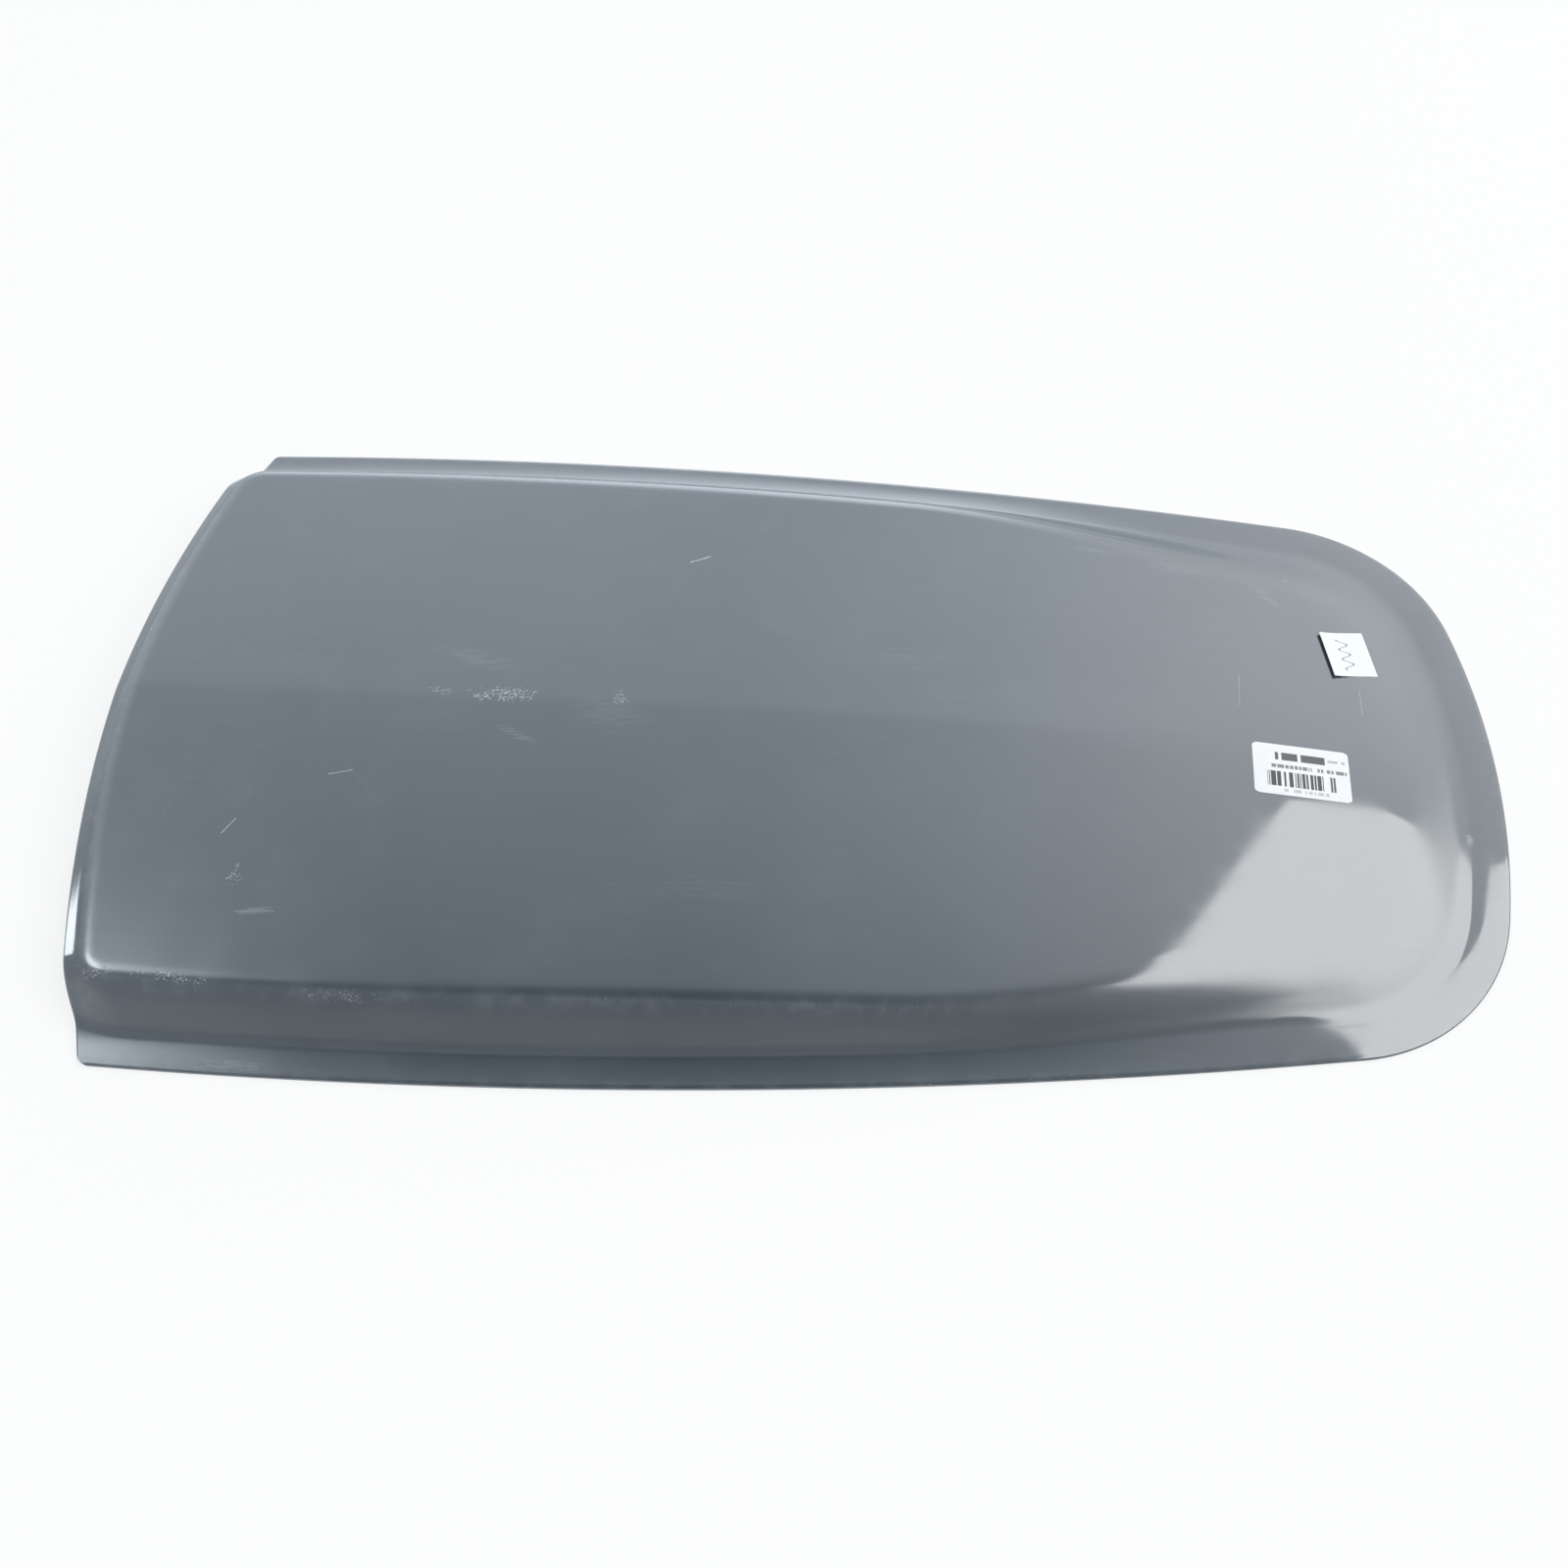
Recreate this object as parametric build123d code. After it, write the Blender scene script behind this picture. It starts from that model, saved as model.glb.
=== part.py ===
from build123d import *
from math import hypot, radians, sqrt, tan
import os

# Bonnet scoop: one moulded glass-fibre shell, open at the front and underneath.
# Millimetres. X runs from the mouth back to the tail, Y across, Z up from the bonnet,
# with the origin under the middle of the shell on the bonding face.

# Overall sizes
overall_length = 790.0
overall_width = 426.0
ridge_height = 42.0
laminate = 3.0

# Plan outline of the bonding flange
widest_from_nose = 145.0
side_radius = 3850.0
mouth_sweep = 31.0
mouth_corner_radius = 5.0
tail_radius = 425.0
tail_corner_radius = 104.0
flange_width = 15.9
tail_flange_width = 27.0
flange_dish_radius = 66.0

# Roof: a level ridge that falls to the tail, with a crowned half on each side
level_ridge = 245.0
tail_height = 5.0
roof_tilt = 2.0
crown_radius = 3200.0

# Side wall: steep beside the mouth, laid back where it runs out at the tail
wall_angle = 53.0
tail_wall_angle = 24.0
wall_fade_start = 455.0
wall_fade_end = 735.0
shoulder_round = 8.0
tail_shoulder_round = 9.0
foot_round = 3.0
tail_foot_round = 2.0

# Lip: the front edge of the roof, turned down over the mouth
lip_width = 13.0
lip_angle = 30.0
lip_round = 3.0

# How far the skins run on past the edges that trim them
overrun = 10.0
foot_overrun = 1.5

# Loft spacing: margins of the rounded strips, lengths of the close stretches, spans in each
foot_margin = 0.3
shoulder_margin = 1.6
lip_run = 26.0
mouth_run = 78.0
tail_run = 140.0
across_spans = [1, 4, 2, 6, 8]
along_spans = [2, 8, 3, 5, 6, 11]
slope_step = 0.25

nose_x = -overall_length / 2
tail_x = overall_length / 2
half_width = overall_width / 2
mouth_radius = (half_width**2 + mouth_sweep**2) / (2 * mouth_sweep)
mouth_centre = Vector(nose_x + mouth_radius, 0)
side_centre = Vector(nose_x + widest_from_nose, half_width - side_radius)
tail_centre = Vector(tail_x - tail_radius, 0)


def lower_of(a, b, reach):
    # the lower of two heights, rounded where they cross
    overlap = max(reach - abs(a - b), 0)
    return min(a, b) - overlap**2 / (4 * reach)


def higher_of(a, b, reach):
    return -lower_of(-a, -b, reach)


def ease(start, stop, value):
    # 0 before start, 1 after stop, with a smooth rise between them
    t = min(max((value - start) / (stop - start), 0), 1)
    return t * t * (3 - 2 * t)


def mix(a, b, share):
    return a + (b - a) * share


def tail_corner_centre():
    # the arc that joins side and tail lies inside both, touching each
    to_side = side_radius - tail_corner_radius
    to_tail = tail_radius - tail_corner_radius
    apart = tail_centre - side_centre
    along = (to_side**2 - to_tail**2 + apart.length**2) / (2 * apart.length)
    across = sqrt(to_side**2 - along**2)
    unit = apart.normalized()
    return side_centre + unit * along + Vector(unit.Y, -unit.X) * across


corner_centre = tail_corner_centre()


def depth_inside(x, y):
    # distance inside the outline, measured from the side, the tail or the corner between them
    point = Vector(x, y)
    from_corner = point - corner_centre
    past_side = from_corner.cross(corner_centre - side_centre).Z > 0
    past_tail = (corner_centre - tail_centre).cross(from_corner).Z > 0
    if past_side and past_tail:
        return tail_corner_radius - from_corner.length
    from_side = side_radius - (point - side_centre).length
    from_tail = tail_radius - hypot(max(x - tail_centre.X, 0), y)
    return min(from_side, from_tail)


def depth_behind_mouth(x, y):
    return mouth_radius - (Vector(x, y) - mouth_centre).length


def roof_height(x, y):
    peak_x = nose_x + level_ridge
    fall = max(x - peak_x, 0) / (tail_x - peak_x)
    ridge = ridge_height - (ridge_height - tail_height) * fall**2
    return ridge - y * tan(radians(roof_tilt)) - y**2 / (2 * crown_radius)


def wall_fade(x):
    # 0 where the wall is steep, 1 where it has run out at the tail
    return ease(wall_fade_start, wall_fade_end, x - nose_x)


def body_height(x, y):
    # roof, lip and side wall, rounded into each other, with the wall run on below the flange
    fade = wall_fade(x)
    slope = tan(radians(mix(wall_angle, tail_wall_angle, fade)))
    wall = laminate + slope * (depth_inside(x, y) - mix(flange_width, tail_flange_width, fade))
    roof = roof_height(x, y)
    turn_down = (lip_width - depth_behind_mouth(x, y)) * tan(radians(lip_angle))
    lipped = lower_of(roof, roof - turn_down, lip_round)
    return lower_of(lipped, wall, mix(shoulder_round, tail_shoulder_round, fade))


def flange_height(x, y):
    # dished beside the steep wall, so that it curves up to its foot, and flat at the tail
    depth = min(depth_inside(x, y), shoulder_depth())
    return laminate + (1 - wall_fade(x)) * depth**2 / (2 * flange_dish_radius)


def foot_reach(x):
    return mix(foot_round, tail_foot_round, wall_fade(x))


def outer_point(x, y):
    return Vector(x, y, higher_of(body_height(x, y), flange_height(x, y), foot_reach(x)))


def inner_point(x, y):
    # one laminate in from the body, measured square to it, within the same cross-section
    rise_x = (body_height(x + slope_step, y) - body_height(x - slope_step, y)) / (2 * slope_step)
    rise_y = (body_height(x, y + slope_step) - body_height(x, y - slope_step)) / (2 * slope_step)
    thick = laminate * sqrt(1 + rise_x**2 + rise_y**2) / (1 + rise_y**2)
    inner_z = body_height(x, y) - thick
    return Vector(x, y + rise_y * thick, higher_of(inner_z, -foot_overrun, foot_reach(x)))


def shoulder_depth():
    # how far in from the side edge the wall meets the roof, beside the mouth
    rise = roof_height(nose_x, half_width - flange_width) - laminate
    return flange_width + rise / tan(radians(wall_angle))


def foot_depth():
    # how far in from the side edge the dished flange meets the wall, beside the mouth
    turn = flange_dish_radius * tan(radians(wall_angle))
    return turn - sqrt(turn**2 - 2 * turn * flange_width)


def stretches(stops, spans):
    # each stretch between stops, cut into its own number of even spans
    cut = []
    for start, stop, count in zip(stops, stops[1:], spans):
        cut.append([mix(start, stop, i / count) for i in range(count + 1)])
    return cut


def across_strips():
    # depths in from the side edge, in strips: flange, foot, wall, shoulder and roof
    slope = tan(radians(wall_angle))
    around_foot = foot_round / (slope - foot_depth() / flange_dish_radius) + foot_margin
    around_shoulder = shoulder_round / slope + shoulder_margin
    stops = [-overrun, foot_depth() - around_foot, foot_depth() + around_foot]
    stops += [shoulder_depth() - around_shoulder, shoulder_depth() + around_shoulder]
    return stretches(stops + [half_width + overrun], across_spans)


def along_stations():
    # distances back from the nose, close together at the lip and the tail
    stops = [-overrun, 0, lip_run, mouth_run, wall_fade_start]
    stops += [overall_length - tail_run, overall_length + overrun]
    stations = []
    for stretch in stretches(stops, along_spans):
        stations += stretch[:-1]
    return stations + [stops[-1]]


def plan_point(back, depth):
    # stations bow with the mouth and straighten towards the tail; the first one is straight
    bow_share = 1 - ease(0, overall_length / 2, back)
    if back <= -overrun:
        bow_share = 0
    side = half_width - depth
    bow = mouth_radius - sqrt(mouth_radius**2 - side**2)
    x = nose_x + back + bow * bow_share
    taper = side_radius - sqrt(side_radius**2 - (x - side_centre.X) ** 2)
    return x, side - taper * max(side, 0) / half_width


def strip_edge(point_at, back, depths):
    points = [point_at(*plan_point(back, depth)) for depth in depths]
    tangents = []
    for depth in (depths[0], depths[-1]):
        after = point_at(*plan_point(back, depth + slope_step))
        before = point_at(*plan_point(back, depth - slope_step))
        tangents.append((after - before) / (2 * slope_step))
    return Edge.make_spline(points, tangents=tangents, parameters=depths, scale=False)


def section(back):
    # a closed strip of the half-shell: outer skin, ridge, inner skin, rim
    strips = across_strips()
    outer = [strip_edge(outer_point, back, depths) for depths in strips]
    inner = [strip_edge(inner_point, back, depths) for depths in strips]
    rim = Edge.make_line(outer[0] @ 0, inner[0] @ 0)
    ridge = Edge.make_line(outer[-1] @ 1, inner[-1] @ 1)
    return Wire(outer + [ridge] + inner[::-1] + [rim])


def outline():
    # four arcs, the bowed mouth, two sides and the tail, with rounded corners between them
    plan = Pos(*side_centre) * Circle(side_radius)
    plan &= Pos(side_centre.X, -side_centre.Y) * Circle(side_radius)
    plan &= Pos(*mouth_centre) * Circle(mouth_radius)
    ahead_of_tail = Pos(tail_centre.X - overall_length) * Rectangle(2 * overall_length, 2 * tail_radius)
    plan &= ahead_of_tail + Pos(*tail_centre) * Circle(tail_radius)
    corners = plan.vertices().sort_by(Axis.X)
    plan = fillet(corners[-2:], tail_corner_radius)
    corners = plan.vertices().sort_by(Axis.X)
    return fillet(corners[:2], mouth_corner_radius)


def half_shell():
    # the lofted skins, trimmed to the outline, the centre line and the bonding face
    half_plan = outline() & Pos(0, half_width) * Rectangle(2 * overall_length, overall_width)
    lofted = Solid.make_loft([section(back) for back in along_stations()])
    return lofted & extrude(half_plan, 2 * ridge_height)


near_half = half_shell()
scoop_shell = near_half + mirror(near_half, about=Plane.XZ)
os.makedirs("parts", exist_ok=True)
export_step(scoop_shell, "parts/scoop_shell.step")
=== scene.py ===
import math
import bmesh
import bpy
import numpy as np
from mathutils import Matrix, Vector


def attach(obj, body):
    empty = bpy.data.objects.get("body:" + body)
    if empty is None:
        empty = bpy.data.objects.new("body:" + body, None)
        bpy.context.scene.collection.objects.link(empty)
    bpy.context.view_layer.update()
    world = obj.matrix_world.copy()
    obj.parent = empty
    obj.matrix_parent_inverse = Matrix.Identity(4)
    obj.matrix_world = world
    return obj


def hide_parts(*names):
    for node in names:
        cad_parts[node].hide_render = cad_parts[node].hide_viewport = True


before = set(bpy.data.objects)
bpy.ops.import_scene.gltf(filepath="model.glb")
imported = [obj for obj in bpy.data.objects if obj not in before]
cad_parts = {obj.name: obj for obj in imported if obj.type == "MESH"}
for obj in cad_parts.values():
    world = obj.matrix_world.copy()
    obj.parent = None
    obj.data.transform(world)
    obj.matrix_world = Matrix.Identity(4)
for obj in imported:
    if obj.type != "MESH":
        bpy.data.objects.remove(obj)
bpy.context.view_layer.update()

scene = bpy.context.scene
scene.view_settings.view_transform = "Standard"


# smooth step: 0 below lo, 1 above hi, 3t^2 - 2t^3 between
def ease(lo, hi, v):
    t = np.clip((v - lo) / (hi - lo), 0, 1)
    return t * t * (3 - 2 * t)


# lower of two heights, rounded within reach of where they cross
def lowerOf(a, b, reach):
    return np.minimum(a, b) - np.maximum(reach - np.abs(a - b), 0) ** 2 / (4 * reach)


def higherOf(a, b, reach):  # the same for the higher one
    return -lowerOf(-a, -b, reach)


def stretch(*runs):  # even steps over runs of (start, stop, count), without doubles
    return np.concatenate([np.linspace(a, b, n, endpoint=False) for a, b, n in runs] + [[runs[-1][1]]])


# scoop shell, sizes in mm as in the CAD solid
shell = dict(
    length=790.0, width=426.0, ridge=42.0, laminate=3.0,
    widest=145.0, sideRadius=3850.0, sweep=31.0, noseCorner=5.0,
    tailRadius=425.0, tailCorner=104.0, flange=15.9, tailFlange=27.0, dish=66.0,
    level=245.0, tailHeight=5.0, tilt=2.0, crown=3200.0,
    wall=53.0, tailWall=24.0, fadeFrom=455.0, fadeTo=735.0,
    shoulder=8.0, tailShoulder=9.0, foot=3.0, tailFoot=4.0, footRun=1.5,
    lipWidth=13.0, lipAngle=30.0, lipRound=3.0,
    crestTurn=12.0, tailCrestTurn=40.0,   # plan corner of the crest between lip and shoulder
    ridgeSoft=2.0, tailRidgeSoft=34.0,  # rounding of the ridge
    ridgeSoftX=(120.0, 350.0),          # X where it grows
    ridgeKeep=0.6,                      # share of that rounding by which the ridge isn't lowered
    edgeSoft=0.5, edgeWidth=0.8,        # rubbed-off corner of the cut edges
    rimFall=0.35, tailRimFall=1.1, endRimFall=0.55,   # flange's rim falls: sides, tail corners, tail end
    rimRun=11.0, tailRimRun=27.0, endRimRun=18.0,     # and the width that it falls over
    tailEnd=(338.0, 376.0),             # X where the corners give way to the tail end
    wave=0.10, waveRise=12.0,           # slow unevenness of the moulding, whole this far above the flange
    slopeStep=0.25, hollowRise=2.0,     # inner skin: step for its slopes, height where it leaves the flange
    squareRun=62.0,                     # how far in from the edge the rows stay square to it
    fanFrom=300.0, fanTip=318.0,        # where rows start to fan, and where the last one ends
    sideSpans=186, cornerSpans=55, tailSpans=49,      # rows along the outline
    roofSpans=22, roofPull=1.4,         # spans of a row over the roof, closer towards the ridge
    sharp=38.0, weldGap=2e-6,           # degrees, m
)
noseX, tailX, halfWidth = -shell["length"] / 2, shell["length"] / 2, shell["width"] / 2
mouthRadius = (halfWidth ** 2 + shell["sweep"] ** 2) / (2 * shell["sweep"])
sideCentre = np.array([noseX + shell["widest"], halfWidth - shell["sideRadius"]])
tailCentre = np.array([tailX - shell["tailRadius"], 0.0])


# centre of the arc that touches side and tail arcs from inside: two circles about theirs meet there
def tailCornerCentre():
    toSide = shell["sideRadius"] - shell["tailCorner"]
    toTail = shell["tailRadius"] - shell["tailCorner"]
    apart = tailCentre - sideCentre
    gap = np.hypot(*apart)
    along = (toSide ** 2 - toTail ** 2 + gap ** 2) / (2 * gap)
    unit = apart / gap
    return sideCentre + unit * along + np.array([unit[1], -unit[0]]) * math.sqrt(toSide ** 2 - along ** 2)


cornerCentre = tailCornerCentre()


# distance inside the flange outline, from the side, the tail or the corner arc between them
def depthInside(x, y):
    dx, dy = x - cornerCentre[0], y - cornerCentre[1]
    sideWay, tailWay = cornerCentre - sideCentre, cornerCentre - tailCentre
    inCorner = (dx * sideWay[1] - dy * sideWay[0] > 0) & (tailWay[0] * dy - tailWay[1] * dx > 0)
    fromSide = shell["sideRadius"] - np.hypot(x - sideCentre[0], y - sideCentre[1])
    fromTail = shell["tailRadius"] - np.hypot(np.maximum(x - tailCentre[0], 0), y)
    return np.where(inCorner, shell["tailCorner"] - np.hypot(dx, dy), np.minimum(fromSide, fromTail))


def mouthBow(y):  # how far the mouth arc lies behind the nose
    return mouthRadius - np.sqrt(mouthRadius ** 2 - y ** 2)


def depthBehindMouth(x, y):  # distance inside the mouth arc
    return mouthRadius - np.hypot(x - noseX - mouthRadius, y)


# level ridge, then a parabola to the tail; each half tilts away from the ridge and is crowned
def roofHeight(x, y):
    peak = noseX + shell["level"]
    fall = np.maximum(x - peak, 0) / (tailX - peak)
    ridge = shell["ridge"] - (shell["ridge"] - shell["tailHeight"]) * fall ** 2
    softer = shell["tailRidgeSoft"] - shell["ridgeSoft"]
    soft = shell["ridgeSoft"] + softer * ease(*shell["ridgeSoftX"], x)
    aside = np.sqrt(y ** 2 + soft ** 2) - soft * shell["ridgeKeep"]
    return ridge - aside * math.tan(math.radians(shell["tilt"])) - y ** 2 / (2 * shell["crown"])


def wallFade(x):  # 0 where the wall is steep, 1 where it has run out at the tail
    return ease(shell["fadeFrom"], shell["fadeTo"], x - noseX)


def towardsTail(x, atMouth, atTail):  # a size that changes along the fading wall
    return shell[atMouth] + (shell[atTail] - shell[atMouth]) * wallFade(x)


# side wall: a slope in from the flange, steep at the mouth and laid back at the tail
def wallHeight(x, y):
    slope = np.tan(np.radians(towardsTail(x, "wall", "tailWall")))
    return shell["laminate"] + slope * (depthInside(x, y) - towardsTail(x, "flange", "tailFlange"))


# slow hand-laid unevenness: three crossed sines, about 300, 200 and 120 mm long
def unevenness(x, y):
    a = np.sin(x * 0.021 + 1.3 + 0.9 * np.sin(y * 0.017))
    b = np.sin(y * 0.031 + 0.4 + 0.7 * np.sin(x * 0.013 + 2.0))
    c = np.sin((x + 0.6 * y) * 0.045 + 0.5)
    return shell["wave"] * (0.9 * a + 0.7 * b + 0.35 * c)


# lower of two heights like lowerOf, with a cubic roll-off that starts more gently, half as wide again
def rollOff(a, b, reach):
    wide = 1.5 * reach
    return np.minimum(a, b) - (np.maximum(wide - np.abs(a - b), 0) / wide) ** 3 * wide / 6


# roof less a drop outside its crest; the crest follows lip and shoulder, with a round corner between them
# where the drop's slope and rounding pass from the lip's to the wall's
def bodyHeight(x, y):
    roof = roofHeight(x, y)
    slope = np.tan(np.radians(towardsTail(x, "wall", "tailWall")))
    turn = towardsTail(x, "crestTurn", "tailCrestTurn")
    pastLip = np.maximum(turn - (depthBehindMouth(x, y) - shell["lipWidth"]), 0)
    pastShoulder = np.maximum(turn - (wallHeight(x, y) - roof) / slope, 0)
    inside = turn - np.hypot(pastLip, pastShoulder)
    share = pastShoulder ** 2 / np.maximum(pastLip ** 2 + pastShoulder ** 2, 1e-9)
    fall = math.tan(math.radians(shell["lipAngle"])) * (1 - share) + slope * share
    reach = shell["lipRound"] * (1 - share) + towardsTail(x, "shoulder", "tailShoulder") * share
    return rollOff(roof, roof + fall * inside, reach)


# flange: dished beside the steep wall, flat at the tail
def flangeHeight(x, y):
    depth = np.minimum(depthInside(x, y), 2 * shell["flange"])
    return shell["laminate"] + (1 - wallFade(x)) * depth ** 2 / (2 * shell["dish"])


def outerHeight(x, y):  # higher of body and flange, alike on both halves
    a = np.abs(y)
    return higherOf(bodyHeight(x, a), flangeHeight(x, a), towardsTail(x, "foot", "tailFoot"))


# inner skin: one laminate in, square to the body, level with the table under the flange
def innerSkin(x, y):
    step = shell["slopeStep"]
    riseX = (bodyHeight(x + step, y) - bodyHeight(x - step, y)) / (2 * step)
    riseY = (bodyHeight(x, y + step) - bodyHeight(x, y - step)) / (2 * step)
    thick = shell["laminate"] * np.sqrt(1 + riseX ** 2 + riseY ** 2) / (1 + riseY ** 2)
    z = higherOf(bodyHeight(x, y) - thick, -shell["footRun"], towardsTail(x, "foot", "tailFoot"))
    hollow = ease(0.0, shell["hollowRise"], z)
    return np.maximum(y + riseY * thick * hollow, 0) * (y > 0), np.maximum(z, 0)


# half outline as stations on the side, tail-corner and tail arcs, with inward normals
def edgeStations():
    startX = noseX
    for _ in range(5):   # where the side arc meets the mouth arc
        startY = sideCentre[1] + math.sqrt(shell["sideRadius"] ** 2 - (startX - sideCentre[0]) ** 2)
        startX = noseX + mouthBow(startY)
    sideWay = (cornerCentre - sideCentre) / np.hypot(*(cornerCentre - sideCentre))
    tailWay = (cornerCentre - tailCentre) / np.hypot(*(cornerCentre - tailCentre))
    endX = sideCentre[0] + shell["sideRadius"] * sideWay[0]
    # closer rows beside the mouth
    sideX = startX + stretch((0, 5, 8), (5, 26, 26), (26, 80, 22), (80, endX - startX, shell["sideSpans"]))
    fromSide, fromTail = math.atan2(sideWay[1], sideWay[0]), math.atan2(tailWay[1], tailWay[0])
    arcs = [np.arccos((sideX - sideCentre[0]) / shell["sideRadius"]),
            np.linspace(fromSide, fromTail, shell["cornerSpans"] + 1)[1:],
            np.linspace(fromTail, 0, shell["tailSpans"] + 1)[1:]]
    counts = [len(a) for a in arcs]
    angle = np.concatenate(arcs)
    radius = np.repeat([shell["sideRadius"], shell["tailCorner"], shell["tailRadius"]], counts)
    centre = np.repeat([sideCentre, cornerCentre, tailCentre], counts, axis=0)
    inward = -np.stack([np.cos(angle), np.sin(angle)], 1)
    edge = centre - inward * radius[:, None]
    run = np.concatenate([[0], np.cumsum(np.hypot(*np.diff(edge, axis=0).T))])
    return edge, inward, run


# plan of one half: rows run square in from the edge, then straight to the centre line;
# front rows bow with the mouth, rear rows fan out round the tail
def planGrid():
    edge, inward, run = edgeStations()
    share = 1 - ease(0, shell["length"] / 2, run)
    inward = inward * np.stack([1 - share, np.ones_like(share)], 1)
    first = np.searchsorted(run, shell["fanFrom"])
    u = np.clip((run - run[first]) / (run[-1] - run[first]), 0, 1)
    room = shell["fanTip"] - edge[first, 0]
    fan = edge[first, 0] + room * (1 - (1 - u) ** ((run[-1] - run[first]) / room))
    tip = np.where(run < run[first], edge[:, 0], fan)
    # points of a row: edge, flange, foot, wall and shoulder, start of the roof
    thin, square = shell["edgeWidth"], shell["squareRun"]
    depth = stretch((0, thin, 2), (thin, 13, 7), (13, 24, 13), (24, 44, 18), (44, square, 8))
    r = shell["noseCorner"]
    inset = r - np.sqrt(r ** 2 - np.maximum(r - run, 0) ** 2)
    d = depth + inset[:, None] * np.clip(1 - depth / shell["flange"], 0, 1)
    near = edge[:, None] + inward[:, None] * d[..., None]
    t = (1 - (1 - np.linspace(0, 1, shell["roofSpans"] + 1)[1:]) ** shell["roofPull"])[:, None]
    goal = np.stack([tip, np.zeros_like(tip)], 1)[:, None]
    grid = np.concatenate([near, near[:, -1:] * (1 - t) + goal * t], 1)
    x, y = grid[..., 0], np.maximum(grid[..., 1], 0)
    y[:, -1], y[-1] = 0, 0
    return x - (mouthBow(edge[:, 1:]) - mouthBow(y)) * share[:, None], y


def bothHalves(x, y, z):  # near half, centre line, far half
    join = lambda a, b: np.concatenate([a, b[:, -2::-1]], 1)
    return np.stack([join(x, x), join(-y, y), join(z, z)], -1)


def quads(index):  # faces of a grid of vertex numbers
    return np.stack([index[:-1, :-1], index[1:, :-1], index[1:, 1:], index[:-1, 1:]], -1).reshape(-1, 4)


def meshFrom(name, points, faces):  # points in mm
    mesh = bpy.data.meshes.new(name)
    mesh.from_pydata((points * 0.001).tolist(), [], faces.tolist())
    mesh.polygons.foreach_set("use_smooth", np.ones(len(faces), bool))
    piece = bpy.data.objects.new(name, mesh)
    scene.collection.objects.link(piece)
    return piece


def weld(piece):  # merges points that fall together and drops faces with no area
    work = bmesh.new()
    work.from_mesh(piece.data)
    bmesh.ops.remove_doubles(work, verts=work.verts, dist=shell["weldGap"])
    bmesh.ops.dissolve_degenerate(work, edges=work.edges, dist=1e-7)
    work.to_mesh(piece.data)
    work.free()


# the flange's rim falls outward in a parabola
def rimDrop(x, y):
    atEnd = ease(*shell["tailEnd"], x)
    fall = towardsTail(x, "rimFall", "tailRimFall") * (1 - atEnd) + shell["endRimFall"] * atEnd
    run = towardsTail(x, "rimRun", "tailRimRun") * (1 - atEnd) + shell["endRimRun"] * atEnd
    return fall * np.clip(1 - depthInside(x, y) / run, 0, 1) ** 2


# where the material changes, in mm
finish = dict(
    lipCrest=10.0, crestWidth=5.0, crestZ=(8.0, 16.0),            # rubbed crest of the lip
    shoulderWidth=5.0, shoulderX=(40.0, 200.0),                   # rubbed shoulder, gone to the rear
    edgeWidth=3.0,                                                # rubbed edges
    lipDepth=(9.0, 13.0), lipRise=(8.0, 14.0),                    # glossy lip
    wallTop=(-3.0, 6.0), wallFoot=(-1.5, 1.0),                    # satin wall
)


# wear: close to the lip crest, the shoulder crest or the cut edge; lip: 1 on the turned-down band;
# wall: 1 between the foot and the shoulder
def finishShares(x, y, z, cut):
    a = np.abs(y)
    behind = depthBehindMouth(x, a)
    aboveRoof = wallHeight(x, a) - roofHeight(x, a)
    aboveFlange = bodyHeight(x, a) - flangeHeight(x, a)
    crest = np.exp(-((behind - finish["lipCrest"]) / finish["crestWidth"]) ** 2)
    crest = crest * ease(*finish["crestZ"], z)
    shoulder = np.exp(-(aboveRoof / finish["shoulderWidth"]) ** 2) * (1 - ease(*finish["shoulderX"], x))
    wear = np.maximum(np.maximum(crest, shoulder), np.exp(-cut / finish["edgeWidth"]))
    lip = (1 - ease(*finish["lipDepth"], behind)) * ease(*finish["lipRise"], aboveFlange)
    wall = (1 - ease(*finish["wallTop"], aboveRoof)) * ease(*finish["wallFoot"], aboveFlange) * (1 - lip)
    return dict(wear=wear, lip=lip, wall=wall)


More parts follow.
